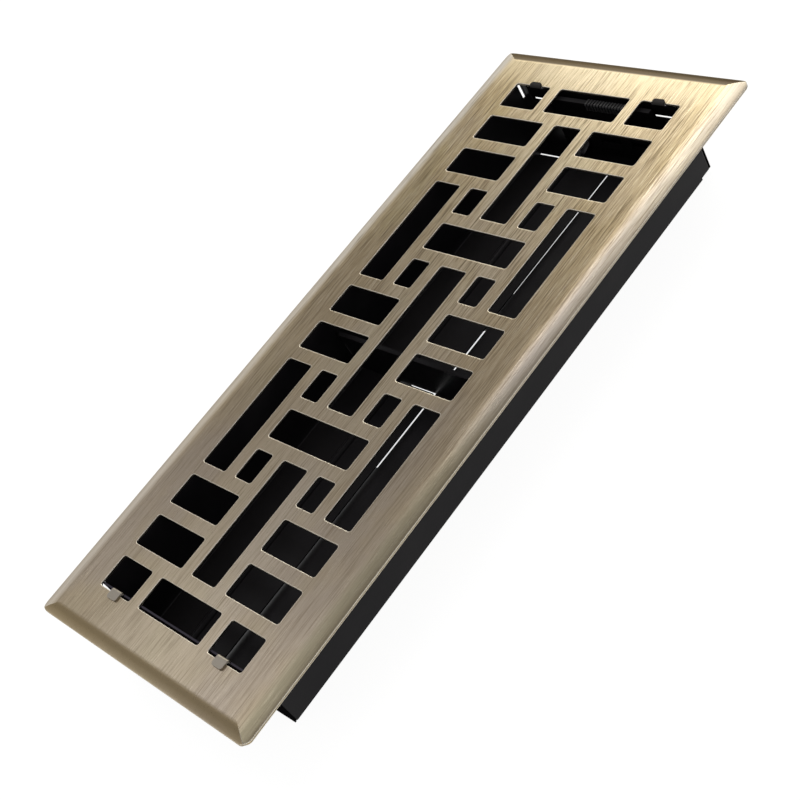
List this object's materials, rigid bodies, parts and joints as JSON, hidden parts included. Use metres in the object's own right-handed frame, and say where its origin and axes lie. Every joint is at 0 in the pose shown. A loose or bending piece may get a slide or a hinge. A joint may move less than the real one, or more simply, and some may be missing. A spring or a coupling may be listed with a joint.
{
  "type": "floor register",
  "caption": "Pressed basket-weave grille plate on a shallow duct box with tilting damper blades worked by a thumb slide.",
  "frame": {"origin": "on the plane of the box's bottom edges, under the centre of the face plate", "axes": "+Y along the length towards the end with the thumb slide, +Z out of the face"},
  "size_m": [0.138, 0.343, 0.0404],
  "materials": {
    "antique_brass": "brushed, satin",
    "box_black": "satin black paint",
    "blade_black": "satin black paint",
    "grip_black": "matt",
    "zinc_steel": "zinc plated"
  },
  "bodies": {
    "frame": {"centre_brace": "box_black", "end_wall_far": "box_black", "end_wall_near": "box_black", "face_plate": "antique_brass", "guide_rivet_left": "box_black", "guide_rivet_right": "box_black", "side_wall_left": "box_black", "side_wall_right": "box_black"},
    "left_blade": {"blade_left": "blade_black", "pivot_rod_left": "zinc_steel", "rod_washer_left": "zinc_steel", "crank_left": "blade_black", "crank_pin_left": "blade_black"},
    "right_blade": {"blade_right": "blade_black", "pivot_rod_right": "zinc_steel", "rod_washer_right": "zinc_steel", "crank_right": "blade_black", "crank_pin_right": "blade_black"},
    "slide": {"operating_slide": "box_black", "thumb_grip": "grip_black"}
  },
  "joints": [
    {"name": "left_blade_tilt", "type": "hinge", "parent": "frame", "child": "left_blade", "pos_m": [-0.022, 0, 0.0034], "axis": [0, -1, 0], "range_deg": [0, 80]},
    {"name": "right_blade_tilt", "type": "hinge", "parent": "frame", "child": "right_blade", "pos_m": [0.022, 0, 0.0034], "axis": [0, -1, 0], "range_deg": [0, 80]},
    {"name": "thumb_slide", "type": "slide", "parent": "frame", "child": "slide", "axis": [-1, 0, 0], "range_m": [0, 0.01299]}
  ],
  "couplings": [
    {"joint": "right_blade_tilt", "follows": "left_blade_tilt", "ratio": 1},
    {"joint": "thumb_slide", "follows": "left_blade_tilt", "m_per_rad": 0.009299}
  ]
}
